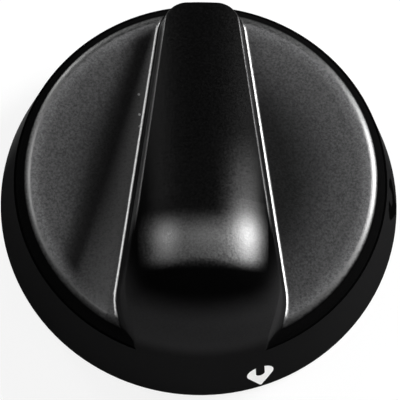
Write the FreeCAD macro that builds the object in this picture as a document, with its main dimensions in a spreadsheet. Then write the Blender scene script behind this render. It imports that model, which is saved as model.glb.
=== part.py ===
import FreeCAD, Part
import os

import Sketcher
from FreeCAD import Placement, Rotation, Vector
from math import acos, asin, atan, cos, degrees, pi, radians, sin, tan

# Push-on control knob for a cooker. It lies face up on its rim.
# Origin: middle of the rim plane, on the spindle axis. +Z leaves through the face,
# -Y points to the round nose of the grip, +Y to its narrow end. All sizes in millimetres.

DIMENSIONS = [
    # drum and face
    ("rim_radius", 22.0, "outer radius at the panel side"),
    ("side_draft", 11.4, "lean of the drum side, degrees"),
    ("face_height", 9.9, "height of the finger pads"),
    ("face_edge", 2.0, "rounding at the outer edge of the pads"),
    ("step_width", 0.25, "narrow step left where the pad edge meets the drum side"),
    ("step_angle", 14.0, "slope angle at which the pad rounding stops on the step, degrees"),
    ("rim_edge", 0.4, "bevel of the outer rim edge"),
    # grip
    ("nose_radius", 11.0, "side-view radius of the nose"),
    ("crest_height", 19.6, "top line of the grip, above the crest"),
    ("nose_rise", 0.4, "top of the full nose above the crest, before the blend"),
    ("crest_setback", 12.4, "distance of the crest behind the rim"),
    ("tail_rise", 2.4, "height of the top line over the pads at the narrow end"),
    ("crest_bow", 20.0, "side-view radius of the crest"),
    ("crown_radius", 13.0, "radius of the crowned top across the grip"),
    ("blank_half", 11.0, "half width of the crown blank, wider than the grip"),
    ("blank_depth", 13.0, "depth of the crown blank"),
    ("crest_sweep", 60.0, "how far the crowned top swings forward past the crest, degrees"),
    ("crest_blend", 4.0, "blend from the crest to the nose"),
    ("grip_edge", 0.25, "rounding of the long upper edges of the grip"),
    ("grip_axis_half", 7.05, "half width of the grip foot at the axis"),
    ("grip_taper", 8.2, "lean of each grip side in plan, degrees"),
    ("shoulder_setback", 9.1, "distance behind the rim where the sides start to turn in"),
    ("shoulder_radius", 7.5, "plan radius of the turn"),
    ("shoulder_turn", 46.0, "how far the sides turn in, degrees"),
    ("tail_inset", 0.6, "distance of the narrow end inside the drum side"),
    ("tail_radius", 3.0, "plan radius of the corners of the narrow end"),
    ("wall_draft", 5.5, "lean of the grip walls, degrees"),
    ("foot_fillet", 0.8, "hollow rounding at the foot of the grip walls"),
    # hollow underside
    ("wall", 2.2, "wall thickness of the moulding"),
    ("hub_radius", 5.5, "outer radius of the hub"),
    ("hub_recess", 1.0, "hub mouth above the rim plane"),
    ("nose_bevel", 6.0, "bevel of the core under the nose"),
    ("root_bevel", 1.0, "bevel where the drum wall meets the roof inside"),
    ("rib_width", 1.5, "thickness of the four ribs"),
    ("rib_recess", 2.5, "rib edge above the rim plane"),
    ("crown_sag", 1.2, "fall of the crown over the width of the core"),
    # spindle socket
    ("spindle_radius", 3.0, "radius of the spindle that the knob fits"),
    ("spindle_flat", 1.6, "distance of the spindle flat from its axis"),
    ("bore_clearance", 0.05, "clearance round the spindle in the socket"),
    ("lead_clearance", 0.3, "radial clearance round the spindle in the lead-in"),
    ("lead_length", 4.5, "length of the round lead-in"),
    ("socket_depth", 13.0, "depth of the socket from the hub mouth"),
    # spring clip
    ("clip_width", 3.6, "width of the leaf"),
    ("clip_sheet", 0.35, "thickness of the leaf"),
    ("clip_bow", 1.0, "height of the bow"),
    ("clip_foot", 0.9, "flat length at each end"),
    ("clip_length", 7.6, "length over both ends"),
    ("clip_clearance", 0.1, "clearance of the leaf in its slot"),
    ("clip_press", 0.15, "how far the bow stands proud of the socket flat"),
    # cutting outlines
    ("overrun", 20.0, "how far cutting outlines run past the knob"),
]

SIZE = {name: value for name, value, note in DIMENSIONS}

# Sizes that follow from these, each as an expression for the sheet with its present value.
INNER_FOOT = ("dims.rim_radius - dims.wall / cos(dims.side_draft * 1 deg)",
              SIZE["rim_radius"] - SIZE["wall"] / cos(radians(SIZE["side_draft"])))
DOME_TOP = ("dims.crest_height + dims.nose_rise", SIZE["crest_height"] + SIZE["nose_rise"])
CREST_FRONT = ("dims.rim_radius - dims.crest_setback", SIZE["rim_radius"] - SIZE["crest_setback"])
TOP_FALL = ("((dims.crest_height - dims.face_height - dims.tail_rise)"
            " / (2 * dims.rim_radius - dims.crest_setback))",
            (SIZE["crest_height"] - SIZE["face_height"] - SIZE["tail_rise"])
            / (2 * SIZE["rim_radius"] - SIZE["crest_setback"]))
TAIL_END = ("dims.rim_radius - dims.face_height * tan(dims.side_draft * 1 deg) - dims.tail_inset",
            SIZE["rim_radius"] - SIZE["face_height"] * tan(radians(SIZE["side_draft"])) - SIZE["tail_inset"])
SHOULDER_FRONT = ("(dims.rim_radius - dims.shoulder_setback)",
                  SIZE["rim_radius"] - SIZE["shoulder_setback"])
WIDEST = ("dims.grip_axis_half + %s * tan(dims.grip_taper * 1 deg)" % SHOULDER_FRONT[0],
          SIZE["grip_axis_half"] + SHOULDER_FRONT[1] * tan(radians(SIZE["grip_taper"])))

os.makedirs("parts", exist_ok=True)
doc = FreeCAD.newDocument("control_knob")

sheet = doc.addObject("Spreadsheet::Sheet", "dims")
for row, (name, value, note) in enumerate(DIMENSIONS, start=1):
    sheet.set("A%d" % row, name)
    sheet.set("B%d" % row, str(value))
    sheet.set("C%d" % row, note)
    sheet.setAlias("B%d" % row, name)
doc.recompute()


def new_body(name):
    body = doc.addObject("PartDesign::Body", name)
    body.Label = name
    return body


def new_sketch(body, name, role, lift=None, turn=0.0):
    """Sketch on one of the body's own origin planes, lifted along its normal by an expression."""
    plane = [item for item in body.Origin.OriginFeatures if item.Role == role][0]
    sketch = body.newObject("Sketcher::SketchObject", name)
    sketch.AttachmentSupport = [(plane, "")]
    sketch.MapMode = "FlatFace"
    sketch.AttachmentOffset = Placement(Vector(0, 0, 0), Rotation(Vector(0, 0, 1), turn))
    if lift:
        sketch.setExpression(".AttachmentOffset.Base.z", lift)
    return sketch


def line(sketch, start, end):
    return sketch.addGeometry(Part.LineSegment(Vector(*start, 0), Vector(*end, 0)), False)


def arc(sketch, centre, radius, start_angle, end_angle):
    circle = Part.Circle(Vector(*centre, 0), Vector(0, 0, 1), radius)
    return sketch.addGeometry(Part.ArcOfCircle(circle, start_angle, end_angle), False)


def circle(sketch, radius):
    item = sketch.addGeometry(Part.Circle(Vector(0, 0, 0), Vector(0, 0, 1), radius), False)
    rule(sketch, "Coincident", item, CENTRE, *ORIGIN)
    return item


def rule(sketch, *constraint):
    return sketch.addConstraint(Sketcher.Constraint(*constraint))


def measure(sketch, name, expression, *constraint):
    """Dimension that follows the sheet."""
    sketch.renameConstraint(rule(sketch, *constraint), name)
    sketch.setExpression("Constraints." + name, expression)


def chain(sketch, items):
    """Joins the end of each item to the start of the next one, and closes the loop."""
    for item, follower in zip(items, items[1:] + items[:1]):
        rule(sketch, "Coincident", item, END, follower, START)


def edge_names(feature, wanted):
    return ["Edge%d" % n for n, edge in enumerate(feature.Shape.Edges, 1) if wanted(edge)]


def round_edges(body, name, base, wanted, radius):
    fillet = body.newObject("PartDesign::Fillet", name)
    fillet.Base = (base, edge_names(base, wanted))
    fillet.setExpression("Radius", radius)
    doc.recompute()
    return fillet


def combine(body, name, kind, others):
    boolean = body.newObject("PartDesign::Boolean", name)
    boolean.Type = kind
    boolean.setObjects(others)
    doc.recompute()
    return boolean


START, END, CENTRE = range(1, 4)
X_AXIS, Y_AXIS = range(-1, -3, -1)
ORIGIN = (X_AXIS, START)

# Turned outlines: a leaning side that bends over into a flat top. The drum with its nose, the core
# one wall further in and the hollow of the drum all have this form.


def turned_outline(body, name, kind, foot, bend, top, bevel=False):
    """foot radius, bend (a radius, or the two sides of a bevel) and top height are each an expression
    with its value."""
    draft = radians(SIZE["side_draft"])
    rise = top[1] - bend[1]
    if bevel:
        meet = (foot[1] - rise * tan(draft), rise)
        reach = meet[0] - bend[1]
    else:
        reach = foot[1] - rise * tan(draft) - bend[1] / cos(draft)
        meet = (reach + bend[1] * cos(draft), rise + bend[1] * sin(draft))
    sketch = new_sketch(body, name + "_outline", "XZ_Plane")
    base = line(sketch, (0, 0), (foot[1], 0))
    side = line(sketch, (foot[1], 0), meet)
    roof = line(sketch, (reach, top[1]), (0, top[1]))
    axis = line(sketch, (0, top[1]), (0, 0))
    if bevel:
        turn = line(sketch, meet, (reach, top[1]))
        rule(sketch, "Coincident", side, END, turn, START)
        rule(sketch, "Coincident", turn, END, roof, START)
        measure(sketch, "bend", bend[0], "DistanceY", turn, START, turn, END, bend[1])
        measure(sketch, "bend_run", bend[0], "DistanceX", turn, END, turn, START, bend[1])
    else:
        turn = arc(sketch, (reach, rise), bend[1], draft, pi / 2)
        rule(sketch, "Tangent", side, END, turn, START)
        rule(sketch, "Tangent", turn, END, roof, START)
        measure(sketch, "bend", bend[0], "Radius", turn, bend[1])
    rule(sketch, "Coincident", base, START, *ORIGIN)
    rule(sketch, "Coincident", base, END, side, START)
    rule(sketch, "Coincident", roof, END, axis, START)
    rule(sketch, "Coincident", axis, END, base, START)
    rule(sketch, "Horizontal", base)
    rule(sketch, "Horizontal", roof)
    rule(sketch, "Vertical", axis)
    measure(sketch, "foot", foot[0], "Distance", base, foot[1])
    measure(sketch, "lean", "90 + dims.side_draft", "Angle", side, pi / 2 + draft)
    measure(sketch, "top", top[0], "DistanceY", axis, END, axis, START, top[1])
    turned = body.newObject("PartDesign::" + kind, name)
    turned.Profile = sketch
    turned.ReferenceAxis = (sketch, ["V_Axis"])
    turned.Angle = 360
    doc.recompute()
    return turned


# Envelope of the grip's crowned top, with a slab that keeps the whole drum.

envelope = new_body("grip_envelope")
drum_sketch = new_sketch(envelope, "drum_slab", "XY_Plane")
measure(drum_sketch, "radius", "dims.rim_radius + dims.overrun", "Radius",
        circle(drum_sketch, SIZE["rim_radius"] + SIZE["overrun"]), SIZE["rim_radius"] + SIZE["overrun"])
slab = envelope.newObject("PartDesign::Pad", "slab")
slab.Profile = drum_sketch
slab.setExpression("Length", "dims.face_height + dims.foot_fillet")
doc.recompute()

# The crowned top is one section, padded back along the sloping top line and swung forward over
# the crest. The section's origin is the middle of the crest's bow, so the swing turns about the
# section's own horizontal axis.
bow = SIZE["crest_bow"]
crown_r = SIZE["crown_radius"]
blank = SIZE["blank_half"]
crown_edge = bow - crown_r + (crown_r ** 2 - blank ** 2) ** 0.5
crown_end = acos(blank / crown_r)
section = new_sketch(envelope, "crown_section", "XZ_Plane", CREST_FRONT[0])
section.setExpression(".AttachmentOffset.Base.y", "dims.crest_height - dims.crest_bow")
section.AttachmentOffset.Rotation = Rotation(Vector(1, 0, 0), -degrees(atan(TOP_FALL[1])))
section.setExpression(".AttachmentOffset.Rotation.Angle", "-atan(%s)" % TOP_FALL[0])
blank_floor = line(section, (-blank, bow - SIZE["blank_depth"]), (blank, bow - SIZE["blank_depth"]))
blank_right = line(section, (blank, bow - SIZE["blank_depth"]), (blank, crown_edge))
crown = arc(section, (0, bow - crown_r), crown_r, crown_end, pi - crown_end)
blank_left = line(section, (-blank, crown_edge), (-blank, bow - SIZE["blank_depth"]))
chain(section, [blank_floor, blank_right, crown, blank_left])
rule(section, "Vertical", blank_right)
rule(section, "Vertical", blank_left)
rule(section, "PointOnObject", crown, CENTRE, Y_AXIS)
rule(section, "Symmetric", blank_floor, START, blank_floor, END, Y_AXIS)
measure(section, "width", "2 * dims.blank_half", "Distance", blank_floor, 2 * blank)
measure(section, "crown", "dims.crown_radius", "Radius", crown, crown_r)
measure(section, "middle", "dims.crest_bow - dims.crown_radius", "DistanceY", *ORIGIN, crown, CENTRE,
        bow - crown_r)
measure(section, "depth", "dims.blank_depth - dims.crown_radius", "DistanceY", blank_floor, START,
        crown, CENTRE, SIZE["blank_depth"] - crown_r)
doc.recompute()
slope_top = envelope.newObject("PartDesign::Pad", "slope_top")
slope_top.Profile = section
slope_top.Reversed = True
slope_top.setExpression("Length", "2 * dims.rim_radius + dims.overrun")
doc.recompute()
crest_top = envelope.newObject("PartDesign::Revolution", "crest_top")
crest_top.Profile = section
crest_top.ReferenceAxis = (section, ["H_Axis"])
crest_top.setExpression("Angle", "dims.crest_sweep * 1 deg + atan(%s)" % TOP_FALL[0])
crest_top.Reversed = False
doc.recompute()

# Finger space: all that is cut away above the two pads, on both sides of the grip and behind it.

space = new_body("finger_space")
draft = radians(SIZE["side_draft"])
stop = radians(SIZE["step_angle"])
edge = SIZE["face_edge"]
face = SIZE["face_height"]
step_z = face - edge + edge * sin(stop)
step_r = SIZE["rim_radius"] - step_z * tan(draft) - SIZE["step_width"]
flat_r = step_r - edge * cos(stop)
space_far = SIZE["rim_radius"] + SIZE["overrun"]
space_top = DOME_TOP[1] + edge
STEP_HEIGHT = "(dims.face_height - dims.face_edge * (1 - sin(dims.step_angle * 1 deg)))"

section = new_sketch(space, "pad_section", "XZ_Plane")
pad = line(section, (0, face), (flat_r, face))
bend = arc(section, (flat_r, face - edge), edge, stop, pi / 2)
step = line(section, (step_r, step_z), (space_far, step_z))
outside = line(section, (space_far, step_z), (space_far, space_top))
top = line(section, (space_far, space_top), (0, space_top))
axis = line(section, (0, space_top), (0, face))
rule(section, "Tangent", pad, END, bend, END)
rule(section, "Coincident", bend, START, step, START)
for item, follower in ((step, outside), (outside, top), (top, axis), (axis, pad)):
    rule(section, "Coincident", item, END, follower, START)
rule(section, "PointOnObject", pad, START, Y_AXIS)
for item in (pad, step, top):
    rule(section, "Horizontal", item)
for item in (outside, axis):
    rule(section, "Vertical", item)
measure(section, "face", "dims.face_height", "DistanceY", *ORIGIN, pad, START, face)
measure(section, "edge", "dims.face_edge", "Radius", bend, edge)
measure(section, "step_height", STEP_HEIGHT, "DistanceY", *ORIGIN, step, START, step_z)
measure(section, "step_radius", "dims.rim_radius - dims.step_width - %s * tan(dims.side_draft * 1 deg)"
        % STEP_HEIGHT, "DistanceX", *ORIGIN, step, START, step_r)
measure(section, "far", "dims.rim_radius + dims.overrun", "DistanceX", *ORIGIN, outside, START, space_far)
measure(section, "top", DOME_TOP[0] + " + dims.face_edge", "DistanceY", *ORIGIN, outside, END, space_top)
pads = space.newObject("PartDesign::Revolution", "pads")
pads.Profile = section
pads.ReferenceAxis = (section, ["V_Axis"])
pads.Angle = 360
doc.recompute()

# The grip stands in this space: straight sides that taper to a round end at the back, and turn in
# at the shoulders to run out past the drum at the front.
taper = radians(SIZE["grip_taper"])
turn = radians(SIZE["shoulder_turn"])
bend_r = SIZE["shoulder_radius"]
front = SHOULDER_FRONT[1]
middle = (WIDEST[1] - bend_r * cos(taper), -front - bend_r * sin(taper))
leave = (middle[0] + bend_r * cos(turn), middle[1] - bend_r * sin(turn))
clear = SIZE["rim_radius"]
ends = leave[0] - (clear + leave[1]) * tan(turn)
tail_r = SIZE["tail_radius"]
tail_y = TAIL_END[1] - tail_r + tail_r * sin(taper)
tail_x = SIZE["grip_axis_half"] - tail_y * tan(taper)
tail_middle = (tail_x - tail_r * cos(taper), TAIL_END[1] - tail_r)
# The sketch is turned a quarter, its own first axis to the back, so that no arc passes its zero angle.
plan = new_sketch(space, "grip_plan", "XY_Plane", "dims.face_height - dims.face_edge", 90.0)
right_wall = line(plan, (tail_y, -tail_x), (-front, -WIDEST[1]))
right_shoulder = arc(plan, (middle[1], -middle[0]), bend_r, 3 * pi / 2 - turn, 3 * pi / 2 + taper)
right_out = line(plan, (leave[1], -leave[0]), (-clear, -ends))
near = line(plan, (-clear, -ends), (-clear, ends))
left_out = line(plan, (-clear, ends), (leave[1], leave[0]))
left_shoulder = arc(plan, (middle[1], middle[0]), bend_r, pi / 2 - taper, pi / 2 + turn)
left_wall = line(plan, (-front, WIDEST[1]), (tail_y, tail_x))
left_corner = arc(plan, (tail_middle[1], tail_middle[0]), tail_r, 0, pi / 2 - taper)
tail = line(plan, (TAIL_END[1], tail_middle[0]), (TAIL_END[1], -tail_middle[0]))
right_corner = arc(plan, (tail_middle[1], -tail_middle[0]), tail_r, 3 * pi / 2 + taper, 2 * pi)
rule(plan, "Tangent", right_wall, END, right_shoulder, END)
rule(plan, "Tangent", right_shoulder, START, right_out, START)
rule(plan, "Coincident", right_out, END, near, START)
rule(plan, "Coincident", near, END, left_out, START)
rule(plan, "Tangent", left_out, END, left_shoulder, END)
rule(plan, "Tangent", left_shoulder, START, left_wall, START)
rule(plan, "Tangent", left_wall, END, left_corner, END)
rule(plan, "Tangent", left_corner, START, tail, START)
rule(plan, "Tangent", tail, END, right_corner, END)
rule(plan, "Tangent", right_corner, START, right_wall, START)
rule(plan, "Symmetric", near, START, near, END, X_AXIS)
rule(plan, "Symmetric", tail, START, tail, END, X_AXIS)
rule(plan, "Symmetric", right_wall, END, left_wall, START, X_AXIS)
rule(plan, "Equal", right_shoulder, left_shoulder)
rule(plan, "Equal", right_corner, left_corner)
measure(plan, "front", SHOULDER_FRONT[0], "DistanceX", right_wall, END, *ORIGIN, front)
measure(plan, "widest", WIDEST[0], "DistanceY", right_wall, END, *ORIGIN, WIDEST[1])
measure(plan, "taper", "180 + dims.grip_taper", "Angle", right_wall, pi + taper)
measure(plan, "shoulder", "dims.shoulder_radius", "Radius", right_shoulder, bend_r)
measure(plan, "turn", "180 - dims.shoulder_turn", "Angle", right_out, pi - turn)
measure(plan, "near", "dims.rim_radius", "DistanceX", right_out, END, *ORIGIN, clear)
measure(plan, "tail_end", TAIL_END[0], "DistanceX", *ORIGIN, tail, END, TAIL_END[1])
measure(plan, "corner", "dims.tail_radius", "Radius", right_corner, tail_r)
kept = space.newObject("PartDesign::Pocket", "grip_kept")
kept.Profile = plan
kept.Reversed = True
kept.setExpression("Length", DOME_TOP[0] + " - dims.face_height + 3 * dims.face_edge")
kept.setExpression("TaperAngle", "-dims.wall_draft")
doc.recompute()


def at_foot(item):
    """True where the grip wall stands on a pad or on the rounding of the pad's edge."""
    faces = kept.Shape.ancestorsOfType(item, Part.Face)
    walls = [near for near in faces if near.BoundBox.ZMax > SIZE["face_height"] + SIZE["foot_fillet"]]
    return len(walls) == 1 and step_z + 0.01 < item.BoundBox.ZMax < SIZE["face_height"] + 0.01


round_edges(space, "grip_foot", kept, at_foot, "dims.foot_fillet")

# Core inside the grip: the grip's own outline one wall further in, under a sloping roof.

core = new_body("grip_core")
turned_outline(core, "core_dome", "Revolution", INNER_FOOT,
               ("dims.nose_bevel", SIZE["nose_bevel"]),
               (DOME_TOP[0] + " - dims.wall", DOME_TOP[1] - SIZE["wall"]), bevel=True)


def core_plan():
    taper = radians(SIZE["grip_taper"])
    turn = radians(SIZE["shoulder_turn"])
    bend_r = SIZE["shoulder_radius"] - SIZE["wall"]
    front = SHOULDER_FRONT[1]
    clear = SIZE["rim_radius"] + SIZE["overrun"]
    half = SIZE["grip_axis_half"] - SIZE["wall"] / cos(taper)
    widest = half + front * tan(taper)
    middle = (widest - bend_r * cos(taper), -front - bend_r * sin(taper))
    leave = (middle[0] + bend_r * cos(turn), middle[1] - bend_r * sin(turn))
    tip = leave[1] - leave[0] / tan(turn)
    prism = new_body("core_prism")
    plan = new_sketch(prism, "core_plan", "XY_Plane", "dims.face_height - dims.face_edge - dims.wall")
    tail = half - SIZE["rim_radius"] * tan(taper)
    back_y = SIZE["rim_radius"]
    right = line(plan, (tail, back_y), (widest, -front))
    right_bend = arc(plan, middle, bend_r, -turn, taper)
    right_out = line(plan, leave, (0, tip))
    left_out = line(plan, (0, tip), (-leave[0], leave[1]))
    left_bend = arc(plan, (-middle[0], middle[1]), bend_r, pi - taper, pi + turn)
    left = line(plan, (-widest, -front), (-tail, back_y))
    back = line(plan, (-tail, back_y), (tail, back_y))
    rule(plan, "Tangent", right, END, right_bend, END)
    rule(plan, "Tangent", right_bend, START, right_out, START)
    rule(plan, "Coincident", right_out, END, left_out, START)
    rule(plan, "Tangent", left_out, END, left_bend, END)
    rule(plan, "Tangent", left_bend, START, left, START)
    rule(plan, "Coincident", left, END, back, START)
    rule(plan, "Coincident", back, END, right, START)
    rule(plan, "Symmetric", back, START, back, END, Y_AXIS)
    rule(plan, "Symmetric", right, END, left, START, Y_AXIS)
    rule(plan, "PointOnObject", right_out, END, Y_AXIS)
    rule(plan, "Equal", right_bend, left_bend)
    measure(plan, "back", "dims.rim_radius", "DistanceY", *ORIGIN, right, START, back_y)
    measure(plan, "front", SHOULDER_FRONT[0], "DistanceY", right, END, *ORIGIN, front)
    measure(plan, "widest", WIDEST[0] + " - dims.wall / cos(dims.grip_taper * 1 deg)", "DistanceX",
            *ORIGIN, right, END, widest)
    measure(plan, "taper", "-90 + dims.grip_taper", "Angle", right, -pi / 2 + taper)
    measure(plan, "bend", "dims.shoulder_radius - dims.wall", "Radius", right_bend, bend_r)
    measure(plan, "turn", "-90 - dims.shoulder_turn", "Angle", right_out, -pi / 2 - turn)
    pad = prism.newObject("PartDesign::Pad", "core_pad")
    pad.Profile = plan
    pad.setExpression("Length", DOME_TOP[0])
    pad.setExpression("TaperAngle", "-dims.wall_draft")
    doc.recompute()
    return prism


prism = core_plan()
combine(core, "core_outline", "Common", [prism])

# What lies above the sloping roof is not cored.
roof_drop = SIZE["wall"] + SIZE["crown_sag"]
roof_reach = SIZE["rim_radius"] + SIZE["overrun"]
roof_mid = SIZE["crest_height"] - CREST_FRONT[1] * TOP_FALL[1] - roof_drop
roof_sketch = new_sketch(core, "core_roof", "YZ_Plane")
roof_high = SIZE["crest_height"] + SIZE["overrun"]
roof_rise = roof_reach * TOP_FALL[1]
roof = line(roof_sketch, (-roof_reach, roof_mid + roof_rise), (roof_reach, roof_mid - roof_rise))
roof_back = line(roof_sketch, (roof_reach, roof_mid - roof_rise), (roof_reach, roof_high))
roof_top = line(roof_sketch, (roof_reach, roof_high), (-roof_reach, roof_high))
roof_front = line(roof_sketch, (-roof_reach, roof_high), (-roof_reach, roof_mid + roof_rise))
chain(roof_sketch, [roof, roof_back, roof_top, roof_front])
rule(roof_sketch, "Vertical", roof_back)
rule(roof_sketch, "Horizontal", roof_top)
rule(roof_sketch, "Vertical", roof_front)
measure(roof_sketch, "slope", "-atan(%s)" % TOP_FALL[0], "Angle", roof, -atan(TOP_FALL[1]))
measure(roof_sketch, "back", "dims.rim_radius + dims.overrun", "DistanceX", *ORIGIN, roof, END, roof_reach)
measure(roof_sketch, "front", "dims.rim_radius + dims.overrun", "DistanceX", roof, START, *ORIGIN,
        roof_reach)
measure(roof_sketch, "tail", "dims.crest_height - dims.wall - dims.crown_sag - (2 * dims.rim_radius"
        " - dims.crest_setback + dims.overrun) * " + TOP_FALL[0], "DistanceY", *ORIGIN,
        roof, END, roof_mid - roof_rise)
measure(roof_sketch, "high", "dims.crest_height + dims.overrun", "DistanceY", *ORIGIN, roof_top, END,
        roof_high)
roof_cut = core.newObject("PartDesign::Pocket", "core_roof_cut")
roof_cut.Profile = roof_sketch
roof_cut.Midplane = True
roof_cut.setExpression("Length", "4 * dims.rim_radius")
doc.recompute()

# The moulding: dome, crowned top, finger spaces, blends, then the hollow side with hub and ribs.

knob = new_body("knob_body")
turned_outline(knob, "dome", "Revolution", ("dims.rim_radius", SIZE["rim_radius"]),
               ("dims.nose_radius", SIZE["nose_radius"]), DOME_TOP)
crowned = combine(knob, "crowned_top", "Common", [envelope])
fingers = combine(knob, "finger_cut", "Cut", [space])


def across_nose(item):
    box = item.optimalBoundingBox()
    wide = box.XMin < -2 and box.XMax > 2 and box.ZMax > SIZE["face_height"] + SIZE["foot_fillet"]
    return wide and box.YMax < 0


def turns_sharply(shape, item):
    """True where the two faces at an edge meet at a visible angle."""
    middle = item.valueAt((item.FirstParameter + item.LastParameter) / 2)
    normals = [face.normalAt(*face.Surface.parameter(middle)) for face in
               shape.ancestorsOfType(item, Part.Face)]
    return len(normals) == 2 and normals[0].getAngle(normals[1]) > radians(15)


def along_grip(shape, item):
    box = item.optimalBoundingBox()
    aside = box.XMin > 2 or box.XMax < -2
    above = box.ZMin > SIZE["face_height"] + SIZE["foot_fillet"] * 0.9
    return aside and above and turns_sharply(shape, item)


def on_rim_plane(item):
    return abs(item.optimalBoundingBox().ZMax) < 1e-3


crest_round = round_edges(knob, "crest_round", fingers, across_nose, "dims.crest_blend")
grip_round = round_edges(knob, "grip_round", crest_round,
                         lambda item: along_grip(crest_round.Shape, item), "dims.grip_edge")
rim_bevel = knob.newObject("PartDesign::Chamfer", "rim_bevel")
rim_bevel.Base = (grip_round, edge_names(grip_round, on_rim_plane))
rim_bevel.setExpression("Size", "dims.rim_edge")
doc.recompute()
cored = combine(knob, "cored", "Cut", [core])
turned_outline(knob, "drum_hollow", "Groove", INNER_FOOT, ("dims.root_bevel", SIZE["root_bevel"]),
               ("dims.face_height - dims.wall", SIZE["face_height"] - SIZE["wall"]), bevel=True)

hub_sketch = new_sketch(knob, "hub_circle", "XY_Plane", "dims.hub_recess")
measure(hub_sketch, "radius", "dims.hub_radius", "Radius", circle(hub_sketch, SIZE["hub_radius"]),
        SIZE["hub_radius"])
hub = knob.newObject("PartDesign::Pad", "hub")
hub.Profile = hub_sketch
hub.setExpression("Length", "dims.crest_height - dims.wall - dims.hub_recess"
                  " - (dims.rim_radius - dims.crest_setback) * " + TOP_FALL[0])
doc.recompute()


def box_sketch(body, name, lift, x_side, y_side, turn=0.0):
    """Rectangle from its four sides: x_side and y_side are (low, high) pairs of expression and value."""
    (x_low, x_high), (y_low, y_high) = x_side, y_side
    sketch = new_sketch(body, name, "XY_Plane", lift, turn)
    near = line(sketch, (x_low[1], y_low[1]), (x_high[1], y_low[1]))
    right = line(sketch, (x_high[1], y_low[1]), (x_high[1], y_high[1]))
    far = line(sketch, (x_high[1], y_high[1]), (x_low[1], y_high[1]))
    left = line(sketch, (x_low[1], y_high[1]), (x_low[1], y_low[1]))
    chain(sketch, [near, right, far, left])
    for item in (near, far):
        rule(sketch, "Horizontal", item)
    for item in (right, left):
        rule(sketch, "Vertical", item)
    measure(sketch, "x_low", x_low[0], "DistanceX", *ORIGIN, near, START, x_low[1])
    measure(sketch, "x_high", x_high[0], "DistanceX", *ORIGIN, near, END, x_high[1])
    measure(sketch, "y_low", y_low[0], "DistanceY", *ORIGIN, near, START, y_low[1])
    measure(sketch, "y_high", y_high[0], "DistanceY", *ORIGIN, right, END, y_high[1])
    return sketch


# One rib in side view, from inside the hub to the middle of the leaning drum wall.
rib_low = SIZE["rib_recess"]
rib_high = SIZE["face_height"] - SIZE["wall"] / 2
rib_start = SIZE["hub_radius"] / 2
side_lean = radians(SIZE["side_draft"])
rib_end = SIZE["rim_radius"] - SIZE["wall"] / 2 / cos(side_lean) - rib_low * tan(side_lean)
rib_top_end = rib_end - (rib_high - rib_low) * tan(side_lean)
rib_sketch = new_sketch(knob, "rib_side", "XZ_Plane")
rib_sketch.AttachmentOffset = Placement(Vector(0, 0, 0), Rotation(Vector(0, 1, 0), 45))
rib_foot = line(rib_sketch, (rib_start, rib_low), (rib_end, rib_low))
rib_outside = line(rib_sketch, (rib_end, rib_low), (rib_top_end, rib_high))
rib_roof = line(rib_sketch, (rib_top_end, rib_high), (rib_start, rib_high))
rib_inside = line(rib_sketch, (rib_start, rib_high), (rib_start, rib_low))
chain(rib_sketch, [rib_foot, rib_outside, rib_roof, rib_inside])
rule(rib_sketch, "Horizontal", rib_foot)
rule(rib_sketch, "Horizontal", rib_roof)
rule(rib_sketch, "Vertical", rib_inside)
measure(rib_sketch, "start", "dims.hub_radius / 2", "DistanceX", *ORIGIN, rib_foot, START, rib_start)
measure(rib_sketch, "low", "dims.rib_recess", "DistanceY", *ORIGIN, rib_foot, START, rib_low)
measure(rib_sketch, "high", "dims.face_height - dims.wall / 2", "DistanceY", *ORIGIN,
        rib_roof, END, rib_high)
measure(rib_sketch, "end", "dims.rim_radius - dims.wall / 2 / cos(dims.side_draft * 1 deg)"
        " - dims.rib_recess * tan(dims.side_draft * 1 deg)", "DistanceX", *ORIGIN, rib_foot, END, rib_end)
measure(rib_sketch, "lean", "90 + dims.side_draft", "Angle", rib_outside, pi / 2 + side_lean)
rib = knob.newObject("PartDesign::Pad", "rib")
rib.Profile = rib_sketch
rib.Midplane = True
rib.setExpression("Length", "dims.rib_width")
doc.recompute()
ribs = knob.newObject("PartDesign::PolarPattern", "ribs")
ribs.Originals = [rib]
ribs.Axis = (rib_sketch, ["V_Axis"])
ribs.Angle = 360
ribs.Occurrences = 4
knob.Tip = ribs
doc.recompute()

# Socket in the hub: a round lead-in, then the flatted length, with a slot behind the flat_y for the clip.


def sink(name, sketch, length):
    """Pocket that runs up into the hub from its sketch."""
    pocket = knob.newObject("PartDesign::Pocket", name)
    pocket.Profile = sketch
    pocket.Reversed = True
    pocket.setExpression("Length", length)
    doc.recompute()
    return pocket


bore = SIZE["spindle_radius"] + SIZE["bore_clearance"]
flat_y = SIZE["spindle_flat"] + SIZE["bore_clearance"]
lead_sketch = new_sketch(knob, "lead_circle", "XY_Plane", "dims.hub_recess")
lead = SIZE["spindle_radius"] + SIZE["lead_clearance"]
measure(lead_sketch, "radius", "dims.spindle_radius + dims.lead_clearance", "Radius",
        circle(lead_sketch, lead), lead)
sink("lead_in", lead_sketch, "dims.lead_length")

flat_lean = asin(flat_y / bore)
socket_sketch = new_sketch(knob, "socket_outline", "XY_Plane", "dims.hub_recess")
round_side = arc(socket_sketch, (0, 0), bore, pi - flat_lean, 2 * pi + flat_lean)
flat_side = line(socket_sketch, (bore * cos(flat_lean), flat_y), (-bore * cos(flat_lean), flat_y))
chain(socket_sketch, [round_side, flat_side])
rule(socket_sketch, "Coincident", round_side, CENTRE, *ORIGIN)
rule(socket_sketch, "Horizontal", flat_side)
measure(socket_sketch, "radius", "dims.spindle_radius + dims.bore_clearance", "Radius", round_side, bore)
measure(socket_sketch, "flat", "dims.spindle_flat + dims.bore_clearance", "DistanceY", *ORIGIN,
        flat_side, START, flat_y)
sink("socket", socket_sketch, "dims.socket_depth")

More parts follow.
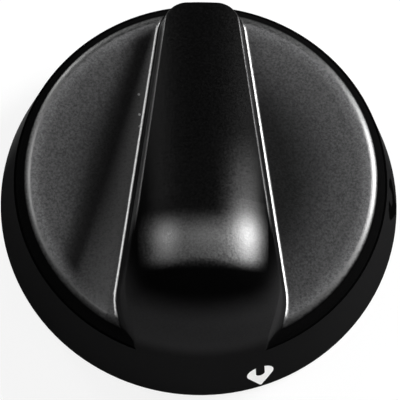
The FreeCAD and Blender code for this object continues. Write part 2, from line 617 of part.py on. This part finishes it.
slot_half = SIZE["clip_width"] / 2 + SIZE["clip_clearance"]
slot_back = flat_y + SIZE["clip_bow"] + SIZE["clip_sheet"] - SIZE["clip_press"]
SLOT_BACK = "(dims.spindle_flat + dims.bore_clearance + dims.clip_bow + dims.clip_sheet - dims.clip_press)"
slot_sketch = box_sketch(
    knob, "clip_slot_outline", "dims.hub_recess + dims.lead_length",
    (("-dims.clip_width / 2 - dims.clip_clearance", -slot_half),
     ("dims.clip_width / 2 + dims.clip_clearance", slot_half)),
    (("dims.spindle_flat / 2", SIZE["spindle_flat"] / 2), (SLOT_BACK, slot_back)))
sink("clip_slot", slot_sketch, "dims.clip_length + 2 * dims.clip_clearance")

# Spring clip: a leaf with two flat feet on the back of the slot and a bow towards the spindle.

clip = new_body("shaft_clip")
sheet_t = SIZE["clip_sheet"]
foot_l = SIZE["clip_foot"]
clip_low = SIZE["hub_recess"] + SIZE["lead_length"] + SIZE["clip_clearance"]
clip_high = clip_low + SIZE["clip_length"]
span = SIZE["clip_length"] - 2 * foot_l
inner_r = span ** 2 / (8 * SIZE["clip_bow"]) + SIZE["clip_bow"] / 2
outer_r = inner_r + sheet_t
bow_y = slot_back - SIZE["clip_bow"] + inner_r
bow_z = (clip_low + clip_high) / 2
inner_lean = asin(span / 2 / inner_r)
outer_half = (outer_r ** 2 - (bow_y - slot_back + sheet_t) ** 2) ** 0.5
outer_lean = asin(outer_half / outer_r)
leaf = new_sketch(clip, "leaf_side", "YZ_Plane")
low_foot = line(leaf, (slot_back, clip_low), (slot_back, clip_low + foot_l))
inner_bow = arc(leaf, (bow_y, bow_z), inner_r, pi - inner_lean, pi + inner_lean)
high_foot = line(leaf, (slot_back, clip_high - foot_l), (slot_back, clip_high))
high_end = line(leaf, (slot_back, clip_high), (slot_back - sheet_t, clip_high))
high_face = line(leaf, (slot_back - sheet_t, clip_high), (slot_back - sheet_t, bow_z + outer_half))
outer_bow = arc(leaf, (bow_y, bow_z), outer_r, pi - outer_lean, pi + outer_lean)
low_face = line(leaf, (slot_back - sheet_t, bow_z - outer_half), (slot_back - sheet_t, clip_low))
low_end = line(leaf, (slot_back - sheet_t, clip_low), (slot_back, clip_low))
rule(leaf, "Coincident", low_foot, END, inner_bow, END)
rule(leaf, "Coincident", inner_bow, START, high_foot, START)
rule(leaf, "Coincident", high_foot, END, high_end, START)
rule(leaf, "Coincident", high_end, END, high_face, START)
rule(leaf, "Coincident", high_face, END, outer_bow, START)
rule(leaf, "Coincident", outer_bow, END, low_face, START)
rule(leaf, "Coincident", low_face, END, low_end, START)
rule(leaf, "Coincident", low_end, END, low_foot, START)
rule(leaf, "Coincident", inner_bow, CENTRE, outer_bow, CENTRE)
for upright in (low_foot, high_foot, high_face, low_face):
    rule(leaf, "Vertical", upright)
for flat_end in (high_end, low_end):
    rule(leaf, "Horizontal", flat_end)
rule(leaf, "Equal", low_foot, high_foot)
rule(leaf, "Equal", low_end, high_end)
rule(leaf, "Vertical", low_foot, END, high_foot, START)
measure(leaf, "back", SLOT_BACK, "DistanceX", *ORIGIN, low_foot, START, slot_back)
measure(leaf, "low", "dims.hub_recess + dims.lead_length + dims.clip_clearance", "DistanceY", *ORIGIN,
        low_foot, START, clip_low)
measure(leaf, "foot", "dims.clip_foot", "Distance", low_foot, foot_l)
measure(leaf, "length", "dims.clip_length", "DistanceY", low_foot, START, high_foot, END,
        SIZE["clip_length"])
measure(leaf, "sheet", "dims.clip_sheet", "Distance", low_end, sheet_t)
measure(leaf, "inner", "(dims.clip_length - 2 * dims.clip_foot) ^ 2 / (8 * dims.clip_bow)"
        " + dims.clip_bow / 2", "Radius", inner_bow, inner_r)
measure(leaf, "outer", "(dims.clip_length - 2 * dims.clip_foot) ^ 2 / (8 * dims.clip_bow)"
        " + dims.clip_bow / 2 + dims.clip_sheet", "Radius", outer_bow, outer_r)
leaf_pad = clip.newObject("PartDesign::Pad", "leaf")
leaf_pad.Profile = leaf
leaf_pad.Midplane = True
leaf_pad.setExpression("Length", "dims.clip_width")
doc.recompute()

# Every feature must be sound before the pieces are written.

for thing in doc.Objects:
    if "Invalid" in thing.State or "Error" in thing.State:
        raise RuntimeError("%s is not sound: %s" % (thing.Name, thing.State))
for piece in (knob, clip):
    piece.Placement = Placement(Vector(0, 0, 0), Rotation())
    if piece.Shape.isNull() or not piece.Shape.isValid() or len(piece.Shape.Solids) != 1:
        raise RuntimeError("%s has no valid single solid" % piece.Label)
    piece.Shape.exportStep("parts/%s.step" % piece.Label)
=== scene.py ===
from math import cos, pi, radians, sin, tan

import bmesh
import bpy
from mathutils import Matrix, Vector


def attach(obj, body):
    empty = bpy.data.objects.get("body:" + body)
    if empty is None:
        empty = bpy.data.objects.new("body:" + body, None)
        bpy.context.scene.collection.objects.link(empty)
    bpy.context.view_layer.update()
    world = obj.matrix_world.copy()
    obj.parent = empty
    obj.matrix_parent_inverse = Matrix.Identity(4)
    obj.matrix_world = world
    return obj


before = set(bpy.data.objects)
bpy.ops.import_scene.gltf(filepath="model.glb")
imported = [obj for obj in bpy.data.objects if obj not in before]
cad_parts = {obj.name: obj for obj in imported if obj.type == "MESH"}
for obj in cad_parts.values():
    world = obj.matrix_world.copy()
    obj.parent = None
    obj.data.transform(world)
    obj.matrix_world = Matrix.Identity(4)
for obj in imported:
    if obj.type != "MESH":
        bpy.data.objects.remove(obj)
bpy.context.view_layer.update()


# The knob: one injection moulding in black thermoplastic, hollow underneath, with a hub and four ribs.
# Its mould is etched to a fine grain on the two finger pads. The crest of the grip, its feet and edges and
# the pads' edges are satin. The drum and the rest of the grip are matt, a little glossier at the back.

MM = 0.001


class Wire:
    """A socket of a node tree. Arithmetic on it adds Math nodes to the tree."""

    def __init__(self, socket):
        self.socket = socket

    def node(self, kind, settings=(), out=0, **sockets):
        """Adds a node of any kind: its settings first, then the values or links of its sockets.
        A socket is named by its label with _ for a space, or by its number as s0, s1 and so on."""
        made = self.socket.id_data.nodes.new(kind)
        for name, value in dict(settings).items():
            setattr(made, name, value)
        for name, value in sockets.items():
            numbered = name[0] == "s" and name[1:].isdigit()
            entry = made.inputs[int(name[1:]) if numbered else name.replace("_", " ")]
            if isinstance(value, Wire):
                self.socket.id_data.links.new(value.socket, entry)
            else:
                entry.default_value = value
        return Wire(made.outputs[out]) if made.outputs else None

    def math(self, operation, first, second=0.0):
        return self.node("ShaderNodeMath", {"operation": operation}, s0=first, s1=second)

    def __add__(self, other):
        return self.math("ADD", self, other)

    def __radd__(self, other):
        return self.math("ADD", other, self)

    def __sub__(self, other):
        return self.math("SUBTRACT", self, other)

    def __rsub__(self, other):
        return self.math("SUBTRACT", other, self)

    def __mul__(self, other):
        return self.math("MULTIPLY", self, other)

    def __rmul__(self, other):
        return self.math("MULTIPLY", other, self)

    def __truediv__(self, other):
        return self.math("DIVIDE", self, other)

    def __pow__(self, other):
        return self.math("POWER", self, other)

    def __abs__(self):
        return self.math("ABSOLUTE", self)

    def at_least(self, other):
        return self.math("MAXIMUM", self, other)

    def at_most(self, other):
        return self.math("MINIMUM", self, other)

    def rise(self, low, high):
        """Runs smoothly from 0 at low to 1 at high."""
        return self.node("ShaderNodeMapRange", {"interpolation_type": "SMOOTHSTEP"},
                         Value=self, From_Min=low, From_Max=high)

    def blend(self, dark, light):
        """Colour between two others, by this value."""
        return self.node("ShaderNodeMix", {"data_type": "RGBA"}, out=2, s0=self, s6=dark, s7=light)

    def parts(self):
        """The three numbers of a vector."""
        split = self.node("ShaderNodeSeparateXYZ", s0=self)
        return [Wire(socket) for socket in split.socket.node.outputs]


def new_finish(name):
    """Empty material, with its place on the object in millimetres as the first wire."""
    finish = bpy.data.materials.new(name)
    finish.use_nodes = True
    finish.node_tree.nodes.clear()
    place = Wire(finish.node_tree.nodes.new("ShaderNodeTexCoord").outputs["Object"])
    return finish, place.node("ShaderNodeVectorMath", {"operation": "SCALE"}, s0=place, Scale=1 / MM)


def lay_on(piece, finish):
    piece.data.materials.clear()
    piece.data.materials.append(finish)


# Where a point of the moulding lies, in millimetres: above the pads, from the axis, inside the cone of the
# drum, outside the grip's left foot, outside either wall of the grip, and past the sweep by the left foot.
RIM_RADIUS = 22.0
SIDE_DRAFT = radians(11.4)
FACE_HEIGHT = 9.9
GRIP_HALF = 7.05
GRIP_TAPER = radians(8.2)
WALL_DRAFT = radians(5.5)
FOOT_FILLET = 0.8
SWEEP_WIDTH = 3.4
SWEEP_SPREAD = 0.156
plastic, place = new_finish("moulded_black_plastic")
x, y, z = place.parts()
up = place.node("ShaderNodeNewGeometry", out=1).parts()[2]
above = z - FACE_HEIGHT
reach = (x * x + y * y) ** 0.5
inside = RIM_RADIUS - z * tan(SIDE_DRAFT) - reach
left_gap = (y * tan(GRIP_TAPER) - x - GRIP_HALF) * cos(GRIP_TAPER)
wall_gap = (y * tan(GRIP_TAPER) + abs(x) - GRIP_HALF) * cos(GRIP_TAPER) + above * tan(WALL_DRAFT)
sweep = SWEEP_WIDTH - SWEEP_SPREAD * y
past_sweep = left_gap - sweep

# The mould's grain, the fine tooth of its smooth faces and the slow flow of the plastic.
GRAIN_PER_MM = 4.4
FINE_PER_MM = 6.0
FLOW_PER_MM = 0.11
SPECKLE = (0.2, 0.8)
grain = place.node("ShaderNodeTexNoise", Vector=place, Scale=GRAIN_PER_MM, Detail=3.0, Roughness=0.6)
fine = place.node("ShaderNodeTexNoise", Vector=place, Scale=FINE_PER_MM, Detail=2.0)
flow = place.node("ShaderNodeTexNoise", Vector=place, Scale=FLOW_PER_MM, Detail=2.0)
speckle = grain.rise(*SPECKLE)


def grey(texture, dark, light):
    """The plastic's colour between two depths, a touch cooler than neutral, by a texture."""
    cool = 1.018
    return texture.blend((dark, dark, cool * dark, 1), (light, light, cool * light, 1))


# A wide shallow sweep leads up to the grip's left foot, with a few small pits in it.
FOOT_LINE = (-0.1, 0.1)
SWEEP_FADE = (0.25, 1.0)
SWEEP_RISE = 0.09
PITS_PER_MM = 0.5
PIT_EDGE = (0.05, 0.09)
PITS_FROM = (5.0, 6.0)
PITS_TO = (10.0, 11.0)
by_left_foot = left_gap.rise(*FOOT_LINE) * (1 - (left_gap / sweep).rise(*SWEEP_FADE))
beside = left_gap.at_least(FOOT_FILLET).at_most(sweep)
sweep_height = SWEEP_RISE * (sweep - beside) ** 2 / sweep
sweep_bump = place.node("ShaderNodeBump", Strength=1.0, Distance=MM, Height=sweep_height)
cells = place.node("ShaderNodeTexVoronoi", {"voronoi_dimensions": "2D"}, Vector=place, Scale=PITS_PER_MM)
pits = (1 - cells.rise(*PIT_EDGE)) * by_left_foot * y.rise(*PITS_FROM) * (1 - y.rise(*PITS_TO))

# Grained pads: painted shade beside the grip, painted light along their edges, a painted shadow of the grip
# along the sweep.
PAD_FACING = (0.980, 0.997)
PAD_FLOOR = (-0.3, -0.1)
PAD_CEILING = (0.01, 0.05)
SWEEP_SATIN = 0.25
GRAIN_DEPTH = 0.03 * MM
PIT_DEPTH = 3.0
# The pits are dents in the bump. Their light grey is a painted glint.
PAINTED_PIT_GLINT = (0.4, 0.4, 0.4, 1)
# Painted shade: the pads are darker close to the grip and lighten to their own grey further out.
PAINTED_SHADE_GREYS = (0.003, 0.011)
PAD_GREYS = (0.025, 0.071)
# Painted light: the pads turn paler towards their edges.
PAINTED_EDGE_LIGHT = (0.052, 0.13)
PAINTED_SHADE_REACH = (9.0, 18.0)
PAINTED_LIGHT_REACH = (16.8, 18.7)
# Painted shadow: a dark band on the left pad just past the sweep, where the grip's shadow falls.
PAINTED_SHADOW_DEPTH = 0.95
PAINTED_SHADOW_START = (-1.2, 0.1)
PAINTED_SHADOW_END = (0.4, 2.9)
on_pads = up.rise(*PAD_FACING) * above.rise(*PAD_FLOOR) * (1 - above.rise(*PAD_CEILING))
in_painted_shadow = PAINTED_SHADOW_DEPTH * past_sweep.rise(*PAINTED_SHADOW_START) * (1 - past_sweep.rise(*PAINTED_SHADOW_END))
painted_grip_shade = grey(speckle, *PAINTED_SHADE_GREYS)
pad_with_painted_shade = reach.rise(*PAINTED_SHADE_REACH).blend(painted_grip_shade, grey(speckle, *PAD_GREYS))
pad_with_painted_light_and_shade = reach.rise(*PAINTED_LIGHT_REACH).blend(in_painted_shadow.blend(pad_with_painted_shade, painted_grip_shade), grey(speckle, *PAINTED_EDGE_LIGHT))
grain_bump = place.node("ShaderNodeBump", Strength=0.8, Distance=GRAIN_DEPTH,
                        Height=grain - PIT_DEPTH * pits, Normal=sweep_bump)
grained = place.node("ShaderNodeBsdfPrincipled", Base_Color=pits.blend(pad_with_painted_light_and_shade, PAINTED_PIT_GLINT),
                     Roughness=0.6 + 0.1 * flow, Normal=grain_bump, Specular_IOR_Level=0.06)

# Satin faces: the feet have a glossy skin, thinner on the right.
FOOT_START = (0.0, 0.05)
GRIP_START = (0.9, 2.0)
RIGHT_FOOT = (-1.0, 1.0)
RIGHT_THINNER = 0.75
SATIN_BLACK = (0.001, 0.001, 0.0011, 1)
SATIN_DEPTH = 0.010 * MM
on_grip = above.rise(*GRIP_START)
on_foot = above.rise(*FOOT_START) * (1 - on_grip)
satin_bump = place.node("ShaderNodeBump", Strength=0.7, Distance=SATIN_DEPTH, Height=fine, Normal=sweep_bump)
satin = place.node("ShaderNodeBsdfPrincipled", Base_Color=SATIN_BLACK, IOR=1.8, Specular_IOR_Level=0.65,
                   Roughness=0.25 + 0.06 * flow + 0.18 * speckle, Normal=satin_bump,
                   Coat_Weight=on_foot * (1 - RIGHT_THINNER * x.rise(*RIGHT_FOOT)),
                   Coat_Roughness=0.34, Coat_IOR=3.0)

# Matt faces: near black on top of the grip and in the step below the pads, which is painted shade, and paler
# on the nose, which is painted light.
STEP_INSIDE = (0.1, 0.2)
STEP_FLOOR = (-1.6, -1.4)
STEP_CEILING = (-0.3, 0.0)
# Painted shade in the step below the pads.
STEP_SHADE = 0.85
SIDES_END = (5.0, 8.0)
SIDES_FACING = (0.75, 0.95)
NOSE_START = (-1.0, 2.0)
NOSE_END = (-14.0, -10.0)
# Painted shade: up-facing tops are near black, darker than the sides.
PAINTED_SHADE_BLACK = (0.0006, 0.0018)
WIPED = (0.0055, 0.0115)
# Painted light: the nose is paler than the sides.
PAINTED_NOSE_LIGHT = (0.013, 0.026)
MATT_DEPTH = 0.008 * MM
in_step = inside.rise(*STEP_INSIDE) * above.rise(*STEP_FLOOR) * (1 - above.rise(*STEP_CEILING))
on_sides = (1 - above.rise(*SIDES_END)) * (1 - STEP_SHADE * in_step) * (1 - up.rise(*SIDES_FACING))
on_nose = above.rise(*NOSE_START) * (1 - y.rise(*NOSE_END))
plain = on_nose.blend(grey(fine, *WIPED), grey(fine, *PAINTED_NOSE_LIGHT))
matt_bump = place.node("ShaderNodeBump", Strength=0.3, Distance=MATT_DEPTH, Height=fine)
matt = place.node("ShaderNodeBsdfPrincipled", Base_Color=on_sides.blend(grey(fine, *PAINTED_SHADE_BLACK), plain),
                  Roughness=0.55 + 0.1 * flow, Normal=matt_bump, Specular_IOR_Level=0.0)

# How satin each place is: most on the crest, the feet and the pads' edges, less behind the crest, though the
# right side stays brighter for a while, some along the grip's upper edges and a little at the back.
SATIN_FACING = (0.84, 0.94)
SATIN_START = (-1.3, -1.0)
CREST_FRONT = (-13.4, -11.8)
CREST_BACK = (-10.0, -6.4)
CREST_DULL = 0.3
TOP_DULL = 0.66
RIGHT_BRIGHTER = 0.26
RIGHT_SIDE = (1.0, 4.0)
RIGHT_END = (-8.0, 4.0)
SATIN_LEAST = 0.7
SATIN_SPECKLE = 0.6
EDGE_SATIN = 0.6
EDGE_INNER = (-0.4, -0.25)
EDGE_OUTER = (-0.06, -0.01)
EDGE_FRONT = (-9.0, -5.0)
BACK_SATIN = 0.22
BACK_START = (2.0, 12.0)
BACK_FACING = (0.5, 0.8)
brighter = RIGHT_BRIGHTER * x.rise(*RIGHT_SIDE) * (1 - y.rise(*RIGHT_END))
dull = CREST_DULL + (TOP_DULL - brighter) * y.rise(*CREST_BACK)
behind_nose = 1 - on_grip * (1 - y.rise(*CREST_FRONT))
smooth = up.rise(*SATIN_FACING) * above.rise(*SATIN_START) * behind_nose * (1 - on_grip * dull)
along_edge = wall_gap.rise(*EDGE_INNER) * (1 - wall_gap.rise(*EDGE_OUTER)) * y.rise(*EDGE_FRONT)
at_back = BACK_SATIN * y.rise(*BACK_START) * (1 - up.rise(*BACK_FACING)) * (1 - in_step)
on_edge = EDGE_SATIN * on_grip * along_edge
shine = (smooth * (SATIN_LEAST + SATIN_SPECKLE * speckle)).at_least(at_back).at_least(on_edge)
body = place.node("ShaderNodeMixShader", s0=shine, s1=matt, s2=satin)
whole = place.node("ShaderNodeMixShader", s0=on_pads * (1 - SWEEP_SATIN * by_left_foot), s1=body, s2=grained)
place.node("ShaderNodeOutputMaterial", Surface=whole)
lay_on(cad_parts["knob_body"], plastic)


# Two flame marks in ink on the drum's side, pressed on by a soft pad: a drop with a round notch, its tip to
# the rim. A small white one sits right of the front, and a large black one on the right. Each is a flat
# outline that is filled and wrapped on the cone of the drum, a hair above the plastic.

INK_LIFT = 0.02
FACET_LEVEL = 3
wrap = bpy.data.node_groups.new("wrap_on_drum", "GeometryNodeTree")
for name, kind in (("Outline", "Geometry"), ("Turn", "Float"), ("Foot", "Float"), ("Ink", "Material")):
    wrap.interface.new_socket(name, in_out="INPUT", socket_type="NodeSocket" + kind)
wrap.interface.new_socket("Print", in_out="OUTPUT", socket_type="NodeSocketGeometry")
given = wrap.nodes.new("NodeGroupInput").outputs
outline = Wire(given["Outline"])
curve = outline.node("GeometryNodeMeshToCurve", Mesh=outline)
sheet = curve.node("GeometryNodeFillCurve", Curve=curve)
facets = sheet.node("GeometryNodeSubdivideMesh", Mesh=sheet, Level=FACET_LEVEL)
across, along = sheet.node("GeometryNodeInputPosition").parts()[:2]
height = Wire(given["Foot"]) + along * cos(SIDE_DRAFT)
radius = (RIM_RADIUS + INK_LIFT) * MM - height * tan(SIDE_DRAFT)
angle = Wire(given["Turn"]) + across / radius
spot = radius.node("ShaderNodeCombineXYZ", X=radius * radius.math("COSINE", angle),
                   Y=radius * radius.math("SINE", angle), Z=height)
moved = facets.node("GeometryNodeSetPosition", Geometry=facets, Position=spot)
single = moved.node("GeometryNodeRealizeInstances", Geometry=moved)
inked = single.node("GeometryNodeSetMaterial", Geometry=single, Material=Wire(given["Ink"]))
wrap.links.new(inked.socket, wrap.nodes.new("NodeGroupOutput").inputs["Print"])

NOTCH_STEPS = 8
BULB_STEPS = 24
SHOULDER = radians(20)
TIP_SHARE = 0.03


def flame_outline(width, tall, notch):
    """Points of a mark's outline: the right half from its notch to its tip, then the left half mirrored."""
    bulb = width / 2
    middle = tall - bulb
    points = []
    for step in range(NOTCH_STEPS + 1):
        turn = step * pi / 2 / NOTCH_STEPS
        points.append((notch * sin(turn), middle - notch * cos(turn)))
    start = pi / 2 - notch / bulb
    for step in range(BULB_STEPS + 1):
        turn = start - (start + SHOULDER) * step / BULB_STEPS
        points.append((bulb * cos(turn), middle + bulb * sin(turn)))
    points.append((TIP_SHARE * width, 0.0))
    return points + [(-across, along) for across, along in reversed(points[1:])]


def flame_print(name, ink, width, tall, notch, turn, foot):
    """Prints a mark of a size in millimetres on the drum, at a turn from +X, its tip at a height of foot."""
    mesh = bpy.data.meshes.new(name)
    points = flame_outline(width, tall, notch)
    rim = [(step, (step + 1) % len(points)) for step in range(len(points))]
    mesh.from_pydata([(across * MM, along * MM, 0.0) for across, along in points], rim, [])
    piece = bpy.data.objects.new(name, mesh)
    bpy.context.scene.collection.objects.link(piece)
    press = piece.modifiers.new("press", "NODES")
    press.node_group = wrap
    values = {"Turn": turn, "Foot": foot * MM, "Ink": ink}
    for item in wrap.interface.items_tree:
        if item.name in values:
            press[item.identifier] = values[item.name]
    pressed = bpy.data.meshes.new_from_object(piece.evaluated_get(bpy.context.evaluated_depsgraph_get()))
    piece.modifiers.clear()
    piece.data = pressed
    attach(piece, "root")


WHITE_THIN = (0.88, 0.88, 0.87, 1)
WHITE_FULL = (0.96, 0.96, 0.95, 1)
INK_SPECKS_PER_MM = 5.0
white_ink, place = new_finish("white_ink")
specks = place.node("ShaderNodeTexNoise", Vector=place, Scale=INK_SPECKS_PER_MM, Detail=2.0)
film = place.node("ShaderNodeBsdfPrincipled", Base_Color=specks.blend(WHITE_THIN, WHITE_FULL),
                  Roughness=0.45)
place.node("ShaderNodeOutputMaterial", Surface=film)
flame_print("white_mark", white_ink, width=3.0, tall=4.2, notch=0.5, turn=radians(-72), foot=0.9)

INK_BLACK = (0.0012, 0.0012, 0.0012, 1)
black_ink, place = new_finish("black_ink")
film = place.node("ShaderNodeBsdfPrincipled", Base_Color=INK_BLACK, Roughness=0.5, Specular_IOR_Level=0.0)
place.node("ShaderNodeOutputMaterial", Surface=film)
flame_print("black_mark", black_ink, width=4.65, tall=6.5, notch=0.8, turn=radians(-2), foot=0.7)


# Spring clip in the hub's slot: a bowed leaf of spring steel, which presses on the flat of the spindle.
# It is cut from rolled strip, which has fine lines along its length, and goes in through the socket.

ROLLING = (9.0, 1.0, 0.6)
LINES_PER_MM = 2.0
STEEL_DARK = (0.46, 0.47, 0.5, 1)
STEEL_BRIGHT = (0.62, 0.63, 0.65, 1)
steel, place = new_finish("rolled_spring_steel")
rolled = place.node("ShaderNodeMapping", Vector=place, Scale=ROLLING)
lines = place.node("ShaderNodeTexNoise", Vector=rolled, Scale=LINES_PER_MM, Detail=4.0)
metal = place.node("ShaderNodeBsdfPrincipled", Base_Color=lines.blend(STEEL_DARK, STEEL_BRIGHT),
                   Metallic=1.0, Roughness=0.24 + 0.16 * lines)
place.node("ShaderNodeOutputMaterial", Surface=metal)
lay_on(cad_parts["shaft_clip"], steel)


# The studio: a sheet of white paper, flat under the knob and curved up far away all round, lit by a strong
# lamp on the right, a weaker one on the left, a faint box overhead and low fills in front and behind.
# The paper shows as plain white to the camera and in the gloss, and keeps some of the knob's shadow.

FLOOR_FLAT = 0.9
FLOOR_COVE = 0.5
FLOOR_BELOW = 0.05 * MM
COVE_STEPS = 12
FLOOR_SIDES = 72
MERGE = 1e-6
profile = [Vector((0.0, 0.0, -FLOOR_BELOW))]
for step in range(COVE_STEPS + 1):
    turn = step * pi / 2 / COVE_STEPS
    out = FLOOR_FLAT + FLOOR_COVE * sin(turn)
    profile.append(Vector((out, 0.0, FLOOR_COVE * (1 - cos(turn)) - FLOOR_BELOW)))
cove = bmesh.new()
spine = [cove.verts.new(point) for point in profile]
for first, second in zip(spine, spine[1:]):
    cove.edges.new((first, second))
bmesh.ops.spin(cove, geom=cove.verts[:] + cove.edges[:], cent=(0, 0, 0), axis=(0, 0, 1), angle=2 * pi,
               steps=FLOOR_SIDES)
bmesh.ops.remove_doubles(cove, verts=cove.verts[:], dist=MERGE)
bmesh.ops.recalc_face_normals(cove, faces=cove.faces[:])
floor_mesh = bpy.data.meshes.new("studio_floor")
cove.to_mesh(floor_mesh)
cove.free()
floor_mesh.polygons.foreach_set("use_smooth", [True] * len(floor_mesh.polygons))
floor = bpy.data.objects.new("studio_floor", floor_mesh)
bpy.context.scene.collection.objects.link(floor)

PAPER = (0.86, 0.86, 0.86, 1)
PLAIN_WHITE = (1, 1, 1, 1)
PLAIN_SHARE = 0.85
paper, place = new_finish("white_paper")
lit = place.node("ShaderNodeBsdfPrincipled", Base_Color=PAPER, Roughness=0.9)
white = place.node("ShaderNodeEmission", Color=PLAIN_WHITE, Strength=1.0)
ray = place.node("ShaderNodeLightPath").socket.node.outputs
seen = Wire(ray["Is Camera Ray"]) + Wire(ray["Is Glossy Ray"]) + Wire(ray["Is Transmission Ray"])
shown = place.node("ShaderNodeMixShader", s0=PLAIN_SHARE * seen, s1=lit, s2=white)
place.node("ShaderNodeOutputMaterial", Surface=shown)
lay_on(floor, paper)


def facing_knob(towards, distance):
    """Place of a lamp or camera that looks at the knob from a direction, with its top to the knob's tail."""
    back = Vector(towards).normalized()
    side = Vector((0, 1, 0)).cross(back).normalized()
    turned = Matrix((side, back.cross(side), back)).transposed().to_4x4()
    return Matrix.Translation(back * distance) @ turned


def soft_lamp(name, towards, distance, width, depth, brightness):
    """Flat lamp that faces the knob, of an even brightness over its face."""
    lamp = bpy.data.lights.new(name, "AREA")
    lamp.shape = "RECTANGLE"
    lamp.size = width
    lamp.size_y = depth
    lamp.energy = brightness * pi * width * depth
    holder = bpy.data.objects.new(name, lamp)
    holder.matrix_world = facing_knob(towards, distance)
    bpy.context.scene.collection.objects.link(holder)


soft_lamp("right_lamp", (0.67, 0.34, 0.65), distance=0.5, width=0.15, depth=0.18, brightness=37.0)
soft_lamp("left_lamp", (-0.5, 0.30, 0.79), distance=0.5, width=0.05, depth=0.12, brightness=26.0)
soft_lamp("overhead_box", (0.06, 0.30, 0.95), distance=0.55, width=0.30, depth=0.10, brightness=4.0)
soft_lamp("front_fill", (0.20, -0.97, 0.10), distance=0.8, width=0.5, depth=0.14, brightness=16.0)
soft_lamp("back_left_fill", (-0.60, 0.79, 0.09), distance=0.7, width=0.5, depth=0.10, brightness=24.0)
soft_lamp("back_right_fill", (0.80, 0.59, 0.09), distance=0.7, width=0.5, depth=0.10, brightness=24.0)

DUSK = (0.015, 0.015, 0.015, 1)
world = bpy.data.worlds.new("studio_dusk")
world.use_nodes = True
world.node_tree.nodes["Background"].inputs["Color"].default_value = DUSK
bpy.context.scene.world = world
bpy.context.scene.view_settings.view_transform = "Standard"

CAMERA_TILT = radians(18.1)
CAMERA_ASIDE = radians(1.4)
CAMERA_DISTANCE = 0.42
SENSOR_WIDTH = 36.0
PIXELS = 400
PIXELS_PER_METRE = 9028.0
MIDDLE_ACROSS = 198.77
MIDDLE_DOWN = 204.97
eye = bpy.data.cameras.new("photo_camera")
eye.sensor_width = SENSOR_WIDTH
eye.lens = PIXELS_PER_METRE / PIXELS * SENSOR_WIDTH * CAMERA_DISTANCE
eye.shift_x = (PIXELS / 2 - MIDDLE_ACROSS) / PIXELS
eye.shift_y = (MIDDLE_DOWN - PIXELS / 2) / PIXELS
camera = bpy.data.objects.new("photo_camera", eye)
upright = cos(CAMERA_ASIDE)
seen_from = (-sin(CAMERA_ASIDE), -sin(CAMERA_TILT) * upright, cos(CAMERA_TILT) * upright)
camera.matrix_world = facing_knob(seen_from, CAMERA_DISTANCE)
bpy.context.scene.collection.objects.link(camera)
bpy.context.scene.camera = camera
